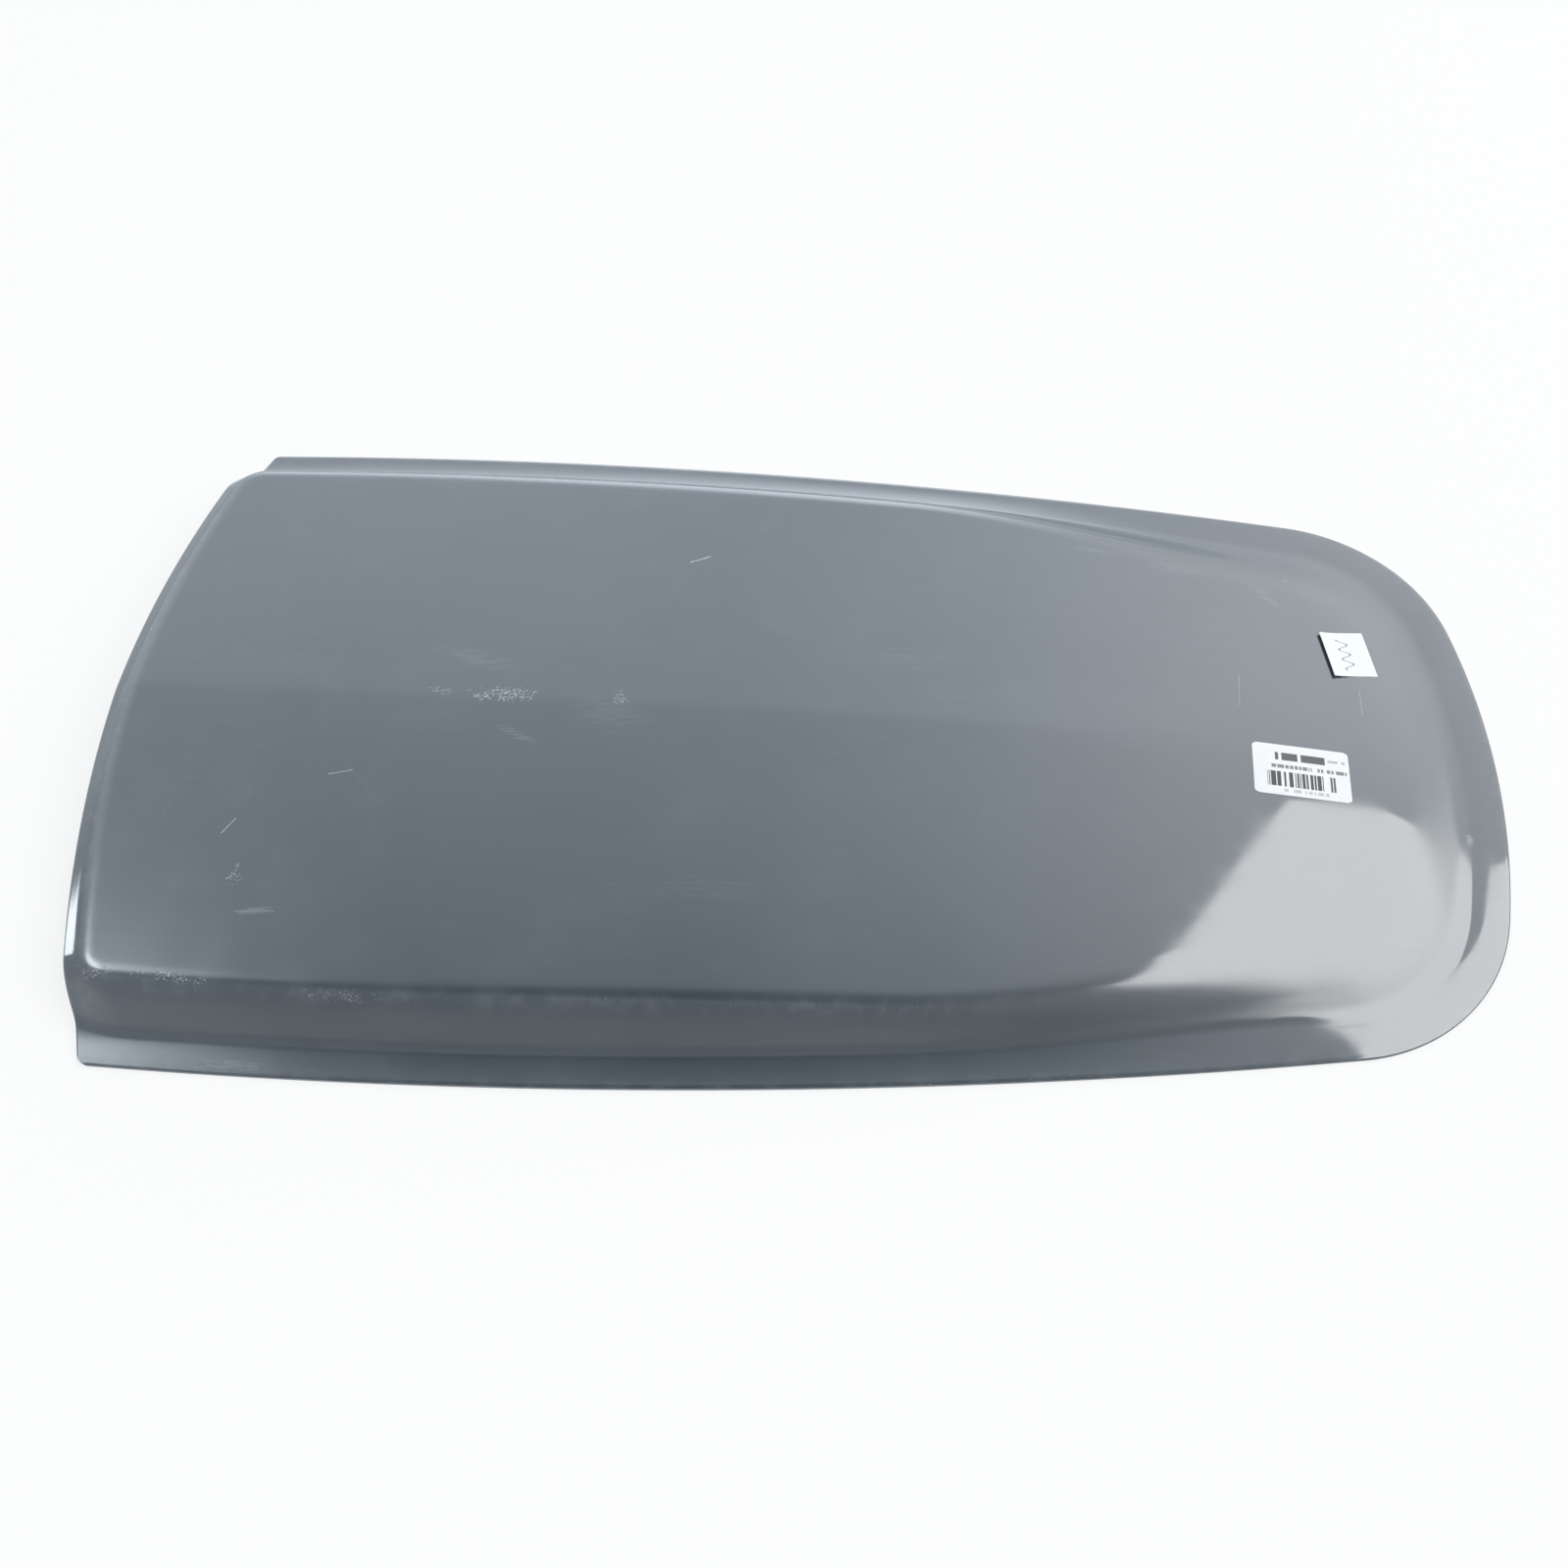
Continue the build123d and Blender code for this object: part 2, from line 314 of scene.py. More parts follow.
# the shell: outer grid, inner grid and the cut edge between them
def makeShell():
    x, y = planGrid()
    cut = np.minimum(depthInside(x, y), depthBehindMouth(x, y))
    z = outerHeight(x, y)
    z -= shell["edgeSoft"] * np.clip(1 - cut / shell["edgeWidth"], 0, 1) ** 2
    z -= rimDrop(x, y)
    outer = bothHalves(x, y, z)
    rise = ease(0.0, shell["waveRise"], outer[..., 2] - shell["laminate"])
    outer[..., 2] += unevenness(outer[..., 0], outer[..., 1]) * rise
    inner = bothHalves(x, *innerSkin(x, y))
    rise = ease(0.0, shell["waveRise"], inner[..., 2])
    inner[..., 2] += unevenness(inner[..., 0], inner[..., 1]) * rise
    n = outer[..., 0].size
    top = np.arange(n).reshape(outer.shape[:2])
    under = top + n
    faces = [quads(top), quads(under)[:, ::-1],
             quads(np.stack([under[:, 0], top[:, 0]], 1)),
             quads(np.stack([top[:, -1], under[:, -1]], 1)),
             quads(np.stack([top[0], under[0]], 0).T)[:, ::-1]]
    points = np.concatenate([outer.reshape(-1, 3), inner.reshape(-1, 3)])
    piece = meshFrom("scoopShell", points, np.concatenate(faces))
    side = np.repeat([0, 1, 0, 0, 0], [len(f) for f in faces])       # 1: laminate, underneath
    piece.data.polygons.foreach_set("material_index", side.astype(np.int32))
    shares = finishShares(*np.moveaxis(outer, -1, 0), bothHalves(x, y, cut)[..., 2])
    for name, share in shares.items():
        values = np.concatenate([share.ravel(), np.zeros(n)]).astype(np.float32)
        piece.data.attributes.new(name, "FLOAT", "POINT").data.foreach_set("value", values)
    weld(piece)
    piece.data.set_sharp_from_angle(angle=math.radians(shell["sharp"]))
    return piece


scoop = makeShell()
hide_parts("scoop_shell")
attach(scoop, "root")
print("shell", len(scoop.data.vertices), "vertices", len(scoop.data.polygons), "faces")


# node helpers: a socket is linked, anything else is set
def put(tree, kind, inputs=None, **settings):
    node = tree.nodes.new(kind)
    for key, value in settings.items():
        setattr(node, key, value)
    for key, value in (inputs or {}).items():
        if isinstance(value, bpy.types.NodeSocket):
            tree.links.new(value, node.inputs[key])
        else:
            node.inputs[key].default_value = value
    return node


def calc(tree, operation, a, b=0.0, clamp=False):  # one sum with numbers
    return put(tree, "ShaderNodeMath", {0: a, 1: b}, operation=operation, use_clamp=clamp).outputs[0]


def span(tree, value, lo, hi, outLo=0.0, outHi=1.0):  # smooth remap
    inputs = {"Value": value, "From Min": lo, "From Max": hi, "To Min": outLo, "To Max": outHi}
    return put(tree, "ShaderNodeMapRange", inputs, interpolation_type="SMOOTHSTEP").outputs["Result"]


def tint(tree, factor, a, b):  # colour a at 0, b at 1
    node = put(tree, "ShaderNodeMix", {"Factor": factor}, data_type="RGBA")
    for key, value in ((6, a), (7, b)):
        if isinstance(value, bpy.types.NodeSocket):
            tree.links.new(value, node.inputs[key])
        else:
            node.inputs[key].default_value = (*value, 1.0)
    return node.outputs[2]


# noise with so many lumps per m, its place stretched and moved first where asked
def noise(tree, place, scale, detail=3.0, stretchBy=None, offset=0.0):
    if stretchBy:
        inputs = {"Vector": place, "Scale": stretchBy, "Location": (offset, 0.7 * offset, 0)}
        place = put(tree, "ShaderNodeMapping", inputs).outputs[0]
    inputs = {"Vector": place, "Scale": scale, "Detail": detail, "Roughness": 0.55}
    return put(tree, "ShaderNodeTexNoise", inputs).outputs[0]


def vec(tree, operation, a, b=(0, 0, 0), out="Vector"):  # one sum with vectors
    return put(tree, "ShaderNodeVectorMath", {0: a, 1: b}, operation=operation).outputs[out]


def newGroup(name, kinds):  # named inputs, and one output called Mask
    tree = bpy.data.node_groups.new(name, "ShaderNodeTree")
    for socket, kind in kinds.items():
        tree.interface.new_socket(socket, in_out="INPUT", socket_type="NodeSocket" + kind)
    tree.interface.new_socket("Mask", in_out="OUTPUT", socket_type="NodeSocketFloat")
    return tree, put(tree, "NodeGroupInput").outputs, put(tree, "NodeGroupOutput").inputs


def flatPlace(tree, ins):  # place seen from above
    return vec(tree, "MULTIPLY", ins["Place"], (1, 1, 0))


# scratch: 1 within a frayed width of the straight line between two points, seen from above
def scratchGroup():
    kinds = dict(Place="Vector", From="Vector", To="Vector", Width="Float", Fray="Float")
    tree, ins, outs = newGroup("scratch", kinds)
    toPoint = vec(tree, "SUBTRACT", flatPlace(tree, ins), ins["From"])
    line = vec(tree, "SUBTRACT", ins["To"], ins["From"])
    along = vec(tree, "DOT_PRODUCT", toPoint, line, "Value")
    whole = vec(tree, "DOT_PRODUCT", line, line, "Value")
    share = calc(tree, "DIVIDE", along, whole, clamp=True)
    foot = put(tree, "ShaderNodeVectorMath", {0: line, "Scale": share}, operation="SCALE").outputs[0]
    gap = vec(tree, "DISTANCE", toPoint, foot, "Value")
    reach = calc(tree, "MULTIPLY", ins["Width"], ins["Fray"])
    near = calc(tree, "SUBTRACT", 1.0, calc(tree, "DIVIDE", gap, reach), clamp=True)
    tree.links.new(span(tree, near, 0.0, 0.5), outs["Mask"])
    return tree


# patch: a soft ellipse turned about its centre, seen from above
def patchGroup():
    tree, ins, outs = newGroup("patch", dict(Place="Vector", Centre="Vector", Reach="Vector", Turn="Float"))
    away = vec(tree, "SUBTRACT", flatPlace(tree, ins), ins["Centre"])
    inputs = {"Vector": away, "Angle": ins["Turn"]}
    laid = put(tree, "ShaderNodeVectorRotate", inputs, rotation_type="Z_AXIS", invert=True).outputs[0]
    far = vec(tree, "LENGTH", vec(tree, "DIVIDE", laid, ins["Reach"]), out="Value")
    tree.links.new(span(tree, far, 1.0, 0.0), outs["Mask"])
    return tree


scratchTree, patchTree = scratchGroup(), patchGroup()

# grains are lumps per m; a span is where a mask starts and ends, then its levels there
gelcoat = dict(
    slate=(0.050, 0.066, 0.078), slatePale=(0.060, 0.077, 0.090),
    dust=(0.15, 0.17, 0.185), chalk=(0.55, 0.57, 0.58), bare=(0.42, 0.42, 0.38),
    sandingGrain=(7.0, 620.0, 60.0), sandingShare=0.23, sandingRelief=0.06,   # fine lines along the length
    cloudGrain=6.0, cloudSpan=(0.38, 0.62),
    blotchGrain=28.0, blotchSpan=(0.52, 0.75, 0.0, 0.07), blotchRough=(0.35, 0.65, -0.015, 0.02),
    rubGrain=90.0, rubSpan=(0.42, 0.70, 0.0, 0.35),
    chipGrain=330.0, chipSpan=(0.68, 0.74, 0.0, 0.55), chipWear=(0.55, 0.9),
    roughFront=0.245, roughTail=0.05, roughX=(-0.30, 0.18),   # rubbed satin at the mouth, gloss at the tail
    roughLip=0.08, roughWall=0.24, roughMark=0.35, roughLeast=0.035, ior=2.0,
    markRelief=2.0, bump=0.1, bumpDepth=0.0001,
    scratches=[  # from x, y to x, y in mm, width, strength
        (-70, 105, -59, 110, 0.7, 0.9), (-255, -53, -242, -50, 0.5, 0.6),
        (-252, -41, -221, -70, 0.25, 0.10), (-306, -91, -300, -82, 0.5, 0.7),
        (-341, -82, -334, -57, 0.25, 0.10), (252, 47, 250, 25, 0.3, 0.5),
        (322, 44, 321, 27, 0.35, 0.5), (-288, -135, -267, -134, 0.4, 0.3),
    ],
    frayGrain=900.0, fraySpan=(0.3, 0.7, 0.45, 1.0),
    smears=[  # centre x, y, half length, half width in mm, turn in degrees, strength
        (-185, 26, 46, 11, -16, 0.42), (-154, -24, 27, 6, -26, 0.45), (-104, -8, 42, 24, -14, 0.28),
        (173, 135, 30, 5, -7, 0.5), (222, 125, 36, 9, -8, 0.4), (275, 110, 24, 6, -48, 0.5),
        (-277, -134, 20, 3.2, 9, 0.5), (-283, -208, 30, 5, 0, 0.5),
        (290, 124, 4, 3, 0, 0.8), (372, -46, 4, 8, 0, 0.6), (60, 40, 90, 16, 4, 0.14),
        (-40, -110, 80, 14, 3, 0.14),
    ],
    smearTurn=-12.0, smearGrain=(80.0, 800.0, 800.0),       # streaks along and across
    smearRim=0.22, smearSpan=(0.52, 0.80),
    flecks=[  # centre x, y, half length, half width in mm, turn in degrees, strength
        (-165, 2, 27, 8, 0, 0.8), (-203, 3, 10, 4, 0, 0.5), (-100, 2, 7, 7, 0, 0.5),
        (-312, -172, 30, 4, -3, 0.6), (-225, -176, 30, 4, -2, 0.3), (-354, -171, 16, 5, 12, 0.6),
        (-293, -115, 6, 9, 0, 0.5),
    ],
    fleckGrain=430.0, curlSpan=(0.035, 0.008),
    fleckRim=0.3, fleckSpan=(0.60, 0.68), fleckFade=(0.02, 0.2),
)


# every mark of one kind, the strongest at each point
def strongest(tree, masks):
    top = masks[0]
    for mask in masks[1:]:
        top = calc(tree, "MAXIMUM", top, mask)
    return top


def patchAt(tree, place, x, y, reachX, reachY, turn):  # mm and degrees
    one = put(tree, "ShaderNodeGroup", node_tree=patchTree)
    tree.links.new(place, one.inputs["Place"])
    one.inputs["Centre"].default_value = (x * 0.001, y * 0.001, 0)
    one.inputs["Reach"].default_value = (reachX * 0.001, reachY * 0.001, 1)
    one.inputs["Turn"].default_value = math.radians(turn)
    return one.outputs["Mask"]


# scratches: thin lines whose width frays with a fine noise
def scratchMarks(tree, place):
    fray = span(tree, noise(tree, place, gelcoat["frayGrain"], 2.0), *gelcoat["fraySpan"])
    masks = []
    for ax, ay, bx, by, width, strength in gelcoat["scratches"]:
        one = put(tree, "ShaderNodeGroup", {"Place": place, "Fray": fray}, node_tree=scratchTree)
        one.inputs["From"].default_value = (ax * 0.001, ay * 0.001, 0)
        one.inputs["To"].default_value = (bx * 0.001, by * 0.001, 0)
        one.inputs["Width"].default_value = width * 0.001
        masks.append(calc(tree, "MULTIPLY", one.outputs["Mask"], strength))
    return strongest(tree, masks)


# smears: streaks that thin out towards the patch's rim
def smearMarks(tree, place):
    turned = (0, 0, -math.radians(gelcoat["smearTurn"]))
    inputs = {"Vector": place, "Rotation": turned, "Scale": gelcoat["smearGrain"]}
    streaks = noise(tree, put(tree, "ShaderNodeMapping", inputs).outputs[0], 1.0, 3.0)
    masks = []
    for x, y, reachX, reachY, turn, strength in gelcoat["smears"]:
        body = patchAt(tree, place, x, y, reachX, reachY, turn)
        fuller = calc(tree, "ADD", streaks, calc(tree, "MULTIPLY", body, gelcoat["smearRim"]))
        lines = span(tree, fuller, *gelcoat["smearSpan"])
        masks.append(calc(tree, "MULTIPLY", calc(tree, "MULTIPLY", lines, body), strength))
    return strongest(tree, masks)


# flecks: short curls along the level lines of a noise, gone where a coarser one is low
def fleckMarks(tree, place):
    fine = noise(tree, place, gelcoat["fleckGrain"], 1.0)
    curl = span(tree, calc(tree, "ABSOLUTE", calc(tree, "SUBTRACT", fine, 0.5)), *gelcoat["curlSpan"])
    coarse = noise(tree, place, gelcoat["fleckGrain"] * 0.5, 2.0, (1, 1, 1), 3.0)
    masks = []
    for x, y, reachX, reachY, turn, strength in gelcoat["flecks"]:
        body = patchAt(tree, place, x, y, reachX, reachY, turn)
        fuller = calc(tree, "ADD", coarse, calc(tree, "MULTIPLY", body, gelcoat["fleckRim"]))
        kept = span(tree, fuller, *gelcoat["fleckSpan"])
        there = calc(tree, "MULTIPLY", kept, span(tree, body, *gelcoat["fleckFade"]))
        masks.append(calc(tree, "MULTIPLY", there, strength))
    return calc(tree, "MULTIPLY", curl, strongest(tree, masks))


# gelcoat: slate in slow clouds and sanding lines, dusted, then the marks; gloss grows towards the tail
def gelcoatMaterial():
    mat = bpy.data.materials.new("gelcoat")
    mat.use_nodes = True
    tree = mat.node_tree
    shader = tree.nodes["Principled BSDF"]
    place = put(tree, "ShaderNodeTexCoord").outputs["Object"]
    alongX = put(tree, "ShaderNodeSeparateXYZ", {0: place}).outputs["X"]
    cloud = noise(tree, place, gelcoat["cloudGrain"], 4.0)
    blotch = noise(tree, place, gelcoat["blotchGrain"], 4.0)
    sanding = noise(tree, place, 1.0, 4.0, gelcoat["sandingGrain"])
    share = gelcoat["sandingShare"]
    tone = calc(tree, "MULTIPLY", cloud, 1 - share)
    tone = calc(tree, "ADD", tone, calc(tree, "MULTIPLY", sanding, share))
    colour = tint(tree, span(tree, tone, *gelcoat["cloudSpan"]), gelcoat["slate"], gelcoat["slatePale"])
    colour = tint(tree, span(tree, blotch, *gelcoat["blotchSpan"]), colour, gelcoat["dust"])
    scratches, smears, flecks = scratchMarks(tree, place), smearMarks(tree, place), fleckMarks(tree, place)
    # rubbed crests and edges: thin wear plus small chips down to pale laminate
    wear = put(tree, "ShaderNodeAttribute", attribute_name="wear").outputs["Fac"]
    rub = span(tree, noise(tree, place, gelcoat["rubGrain"], 4.0), *gelcoat["rubSpan"])
    rub = calc(tree, "MULTIPLY", wear, rub)
    chips = span(tree, noise(tree, place, gelcoat["chipGrain"], 4.0), *gelcoat["chipSpan"])
    chips = calc(tree, "MULTIPLY", span(tree, wear, *gelcoat["chipWear"]), chips)
    bareMarks = strongest(tree, [scratches, flecks, chips])
    colour = tint(tree, calc(tree, "MAXIMUM", rub, smears), colour, gelcoat["dust"])
    colour = tint(tree, strongest(tree, [scratches, chips]), colour, gelcoat["bare"])
    colour = tint(tree, flecks, colour, gelcoat["chalk"])
    tree.links.new(colour, shader.inputs["Base Color"])
    rough = span(tree, alongX, *gelcoat["roughX"], gelcoat["roughFront"], gelcoat["roughTail"])
    onLip = put(tree, "ShaderNodeAttribute", attribute_name="lip").outputs["Fac"]
    rough = put(tree, "ShaderNodeMix", {"Factor": onLip, "A": rough, "B": gelcoat["roughLip"]}).outputs[0]
    onWall = put(tree, "ShaderNodeAttribute", attribute_name="wall").outputs["Fac"]
    rough = put(tree, "ShaderNodeMix", {"Factor": onWall, "A": rough, "B": gelcoat["roughWall"]}).outputs[0]
    rough = calc(tree, "ADD", rough, span(tree, blotch, *gelcoat["blotchRough"]))
    marks = calc(tree, "MAXIMUM", bareMarks, smears)
    rough = calc(tree, "ADD", rough, calc(tree, "MULTIPLY", marks, gelcoat["roughMark"]))
    tree.links.new(calc(tree, "MAXIMUM", rough, gelcoat["roughLeast"]), shader.inputs["Roughness"])
    cuts = calc(tree, "MULTIPLY", bareMarks, gelcoat["markRelief"])
    relief = calc(tree, "SUBTRACT", calc(tree, "MULTIPLY", sanding, gelcoat["sandingRelief"]), cuts)
    inputs = {"Strength": gelcoat["bump"], "Distance": gelcoat["bumpDepth"], "Height": relief}
    tree.links.new(put(tree, "ShaderNodeBump", inputs).outputs[0], shader.inputs["Normal"])
    shader.inputs["IOR"].default_value = gelcoat["ior"]
    return mat


laminate = dict(
    resin=(0.30, 0.29, 0.24), strand=(0.46, 0.45, 0.39), pool=(0.20, 0.21, 0.20),
    strandGrain=(36.0, 420.0, 60.0), strandSpan=(0.5, 0.1), strandShare=0.75,
    ways=[(0.35, 1.0), (1.45, 5.0), (2.5, 9.0)],            # turn and offset of the strands
    poolGrain=16.0, poolSpan=(0.45, 0.65), poolShare=0.55, poolRough=(0.0, 1.0, 0.5, 0.25),
    lumpGrain=60.0, lumpShare=1.5, bump=0.6, bumpDepth=0.0006,
)


# underside: chopped-strand mat in resin, strands as stretched cells laid three ways
def laminateMaterial():
    mat = bpy.data.materials.new("laminate")
    mat.use_nodes = True
    tree = mat.node_tree
    shader = tree.nodes["Principled BSDF"]
    place = put(tree, "ShaderNodeTexCoord").outputs["Object"]
    layers = []
    for turn, offset in laminate["ways"]:
        inputs = {"Vector": place, "Rotation": (0, 0, turn), "Location": (offset, 0, 0)}
        laid = put(tree, "ShaderNodeMapping", {**inputs, "Scale": laminate["strandGrain"]}).outputs[0]
        cells = put(tree, "ShaderNodeTexVoronoi", {"Vector": laid, "Scale": 1.0, "Randomness": 1.0})
        layers.append(span(tree, cells.outputs["Distance"], *laminate["strandSpan"]))
    strands = strongest(tree, layers)
    pools = span(tree, noise(tree, place, laminate["poolGrain"], 4.0), *laminate["poolSpan"])
    cover = calc(tree, "MULTIPLY", strands, laminate["strandShare"])
    colour = tint(tree, cover, laminate["resin"], laminate["strand"])
    colour = tint(tree, calc(tree, "MULTIPLY", pools, laminate["poolShare"]), colour, laminate["pool"])
    tree.links.new(colour, shader.inputs["Base Color"])
    tree.links.new(span(tree, pools, *laminate["poolRough"]), shader.inputs["Roughness"])
    lumps = calc(tree, "MULTIPLY", noise(tree, place, laminate["lumpGrain"], 3.0), laminate["lumpShare"])
    lumps = calc(tree, "ADD", strands, lumps)
    inputs = {"Strength": laminate["bump"], "Distance": laminate["bumpDepth"], "Height": lumps}
    tree.links.new(put(tree, "ShaderNodeBump", inputs).outputs[0], shader.inputs["Normal"])
    return mat


scoop.data.materials.append(gelcoatMaterial())
scoop.data.materials.append(laminateMaterial())
print("gelcoat and laminate done")

# stock label: thin paper that follows the roof, corners rounded
label = dict(
    centre=(280.5, -15.4), size=(54.0, 32.0), turn=-2.3, corner=2.5, thick=0.15,
    paper=(0.86, 0.86, 0.85), ink=(0.03, 0.03, 0.035),
    bands=[  # box as u from, u to, v from, v to; cells, share inked, seed, strength
        ((0.14, 0.86, 0.17, 0.46), 96, 0.52, 3.0, 0.95),      # plain bars
        ((0.20, 0.75, 0.69, 0.84), 30, 0.76, 11.0, 0.9),      # rows of dark strips
        ((0.78, 0.96, 0.75, 0.80), 26, 0.55, 31.0, 0.45),
        ((0.19, 0.97, 0.53, 0.60), 84, 0.62, 23.0, 0.75),
        ((0.28, 0.80, 0.07, 0.13), 52, 0.5, 17.0, 0.35),
    ],
    pen=None,
)
# hand-cut slip: left edge lifted off the roof, a wavy pen line
slip = dict(
    centre=(319.4, 70.0), size=(27.0, 32.0), turn=8.2, corner=0.01, thick=0.12,
    lift=1.6, liftFrom=0.1,             # mm, share of the width right of the middle
    paper=(0.84, 0.85, 0.86), ink=(0.05, 0.05, 0.06),
    bands=[],
    pen=dict(line=(0.44, 0.11, 4.5, 0.028), box=(0.1, 0.8, 0.14, 0.84), strength=0.8),
)
# both papers: gap over the roof in mm, darkest share of the colour, fibres per m
paperSheet = dict(
    gap=0.05, steps=(49, 33), sharp=40.0, darker=0.93,
    fibreGrain=900.0, fibreSpan=(0.3, 0.7), rough=(0.55, 0.7), bump=0.2, bumpDepth=0.0001,
)


# a paper sheet: u, v over the sheet, turned and moved to its place, height from the roof plus lift
def makePaper(name, paper, lift):
    (w, h), corner = paper["size"], paper["corner"]
    u, v = np.meshgrid(*(np.linspace(-1, 1, n) for n in paperSheet["steps"]), indexing="ij")
    # rounded corners: past the corner's start, the row ends pull in along a quarter circle
    past = np.clip((np.abs(v) * h / 2 - (h / 2 - corner)) / corner, 0, 1)
    reach = w / 2 - corner * (1 - np.sqrt(1 - past ** 2))
    px, py = u * reach, v * h / 2
    a = math.radians(paper["turn"])
    x = paper["centre"][0] + px * math.cos(a) - py * math.sin(a)
    y = paper["centre"][1] + px * math.sin(a) + py * math.cos(a)
    z = outerHeight(x, y) + unevenness(x, y) + paperSheet["gap"] + lift(px / w)
    n = u.size
    top = np.arange(n).reshape(u.shape)
    under = top + n
    sheets = [np.stack([x, y, level], -1).reshape(-1, 3) for level in (z + paper["thick"], z)]
    faces = [quads(top), quads(under)[:, ::-1],
             quads(np.stack([under[:, 0], top[:, 0]], 1)),
             quads(np.stack([top[:, -1], under[:, -1]], 1)),
             quads(np.stack([top[0], under[0]], 0).T)[:, ::-1],
             quads(np.stack([under[-1], top[-1]], 0).T)[:, ::-1]]
    piece = meshFrom(name, np.concatenate(sheets), np.concatenate(faces))
    flat = np.tile(np.stack([px / w + 0.5, py / h + 0.5], -1).reshape(-1, 2), (2, 1))
    corners = np.empty(len(piece.data.loops), np.int32)
    piece.data.loops.foreach_get("vertex_index", corners)
    piece.data.uv_layers.new(name="sheet").data.foreach_set("uv", flat[corners].astype(np.float32).ravel())
    weld(piece)
    piece.data.set_sharp_from_angle(angle=math.radians(paperSheet["sharp"]))
    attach(piece, "root")
    return piece


def slipLift(u):  # grows with the square of the distance from where it starts, whole at the left edge
    return slip["lift"] * np.clip(slip["liftFrom"] - u, 0, 1) ** 2 / (slip["liftFrom"] + 0.5) ** 2


labelPiece = makePaper("stockLabel", label, lambda u: 0 * u)
slipPiece = makePaper("paperSlip", slip, slipLift)
print("label and slip", len(labelPiece.data.polygons), len(slipPiece.data.polygons))


# printed band: 1 inside a box on the sheet's own u, v
def bandMask(tree, u, v, box):
    u0, u1, v0, v1 = box
    inU = calc(tree, "MULTIPLY", calc(tree, "GREATER_THAN", u, u0), calc(tree, "LESS_THAN", u, u1))
    inV = calc(tree, "MULTIPLY", calc(tree, "GREATER_THAN", v, v0), calc(tree, "LESS_THAN", v, v1))
    return calc(tree, "MULTIPLY", inU, inV)


# even cells along u, each inked or left bare by chance
def cellInk(tree, u, count, share, seed):
    cell = calc(tree, "FLOOR", calc(tree, "MULTIPLY", u, count))
    inputs = {"W": calc(tree, "ADD", cell, seed)}
    chance = put(tree, "ShaderNodeTexWhiteNoise", inputs, noise_dimensions="1D").outputs["Value"]
    return calc(tree, "LESS_THAN", chance, share)


# pen mark: a line down the sheet that swings from side to side
def penMark(tree, u, v, middle, swing, swings, width):
    wave = calc(tree, "SINE", calc(tree, "MULTIPLY", v, 2 * math.pi * swings))
    wave = calc(tree, "MULTIPLY", wave, swing)
    gap = calc(tree, "ABSOLUTE", calc(tree, "SUBTRACT", calc(tree, "SUBTRACT", u, middle), wave))
    return span(tree, gap, width, width * 0.5)


# paper: fibres in a fine noise, then the inked bands or the pen line
def paperMaterial(name, paper):
    mat = bpy.data.materials.new(name)
    mat.use_nodes = True
    tree = mat.node_tree
    shader = tree.nodes["Principled BSDF"]
    sheet = put(tree, "ShaderNodeUVMap", uv_map="sheet").outputs[0]
    part = put(tree, "ShaderNodeSeparateXYZ", {0: sheet})
    u, v = part.outputs["X"], part.outputs["Y"]
    place = put(tree, "ShaderNodeTexCoord").outputs["Object"]
    fibre = noise(tree, place, paperSheet["fibreGrain"], 4.0)
    darker = tuple(c * paperSheet["darker"] for c in paper["paper"])
    colour = tint(tree, span(tree, fibre, *paperSheet["fibreSpan"]), darker, paper["paper"])
    for box, count, share, seed, strength in paper["bands"]:
        ink = calc(tree, "MULTIPLY", bandMask(tree, u, v, box), cellInk(tree, u, count, share, seed))
        colour = tint(tree, calc(tree, "MULTIPLY", ink, strength), colour, paper["ink"])
    pen = paper["pen"]
    if pen:
        line = calc(tree, "MULTIPLY", penMark(tree, u, v, *pen["line"]), bandMask(tree, u, v, pen["box"]))
        colour = tint(tree, calc(tree, "MULTIPLY", line, pen["strength"]), colour, paper["ink"])
    tree.links.new(colour, shader.inputs["Base Color"])
    rough = span(tree, fibre, *paperSheet["fibreSpan"], *paperSheet["rough"])
    tree.links.new(rough, shader.inputs["Roughness"])
    inputs = {"Strength": paperSheet["bump"], "Distance": paperSheet["bumpDepth"], "Height": fibre}
    tree.links.new(put(tree, "ShaderNodeBump", inputs).outputs[0], shader.inputs["Normal"])
    return mat


labelPiece.data.materials.append(paperMaterial("labelPaper", label))
slipPiece.data.materials.append(paperMaterial("slipPaper", slip))

# floor under the flange: camera and gloss see it nearly white, the underside gets a little of that
floorSheet = dict(
    size=6000.0, z=-0.4, colour=(0.86, 0.86, 0.86), rough=0.9, specular=0.1,
    glow=0.8, bounce=0.3, cool=(0.92, 1.0, 1.08),
)


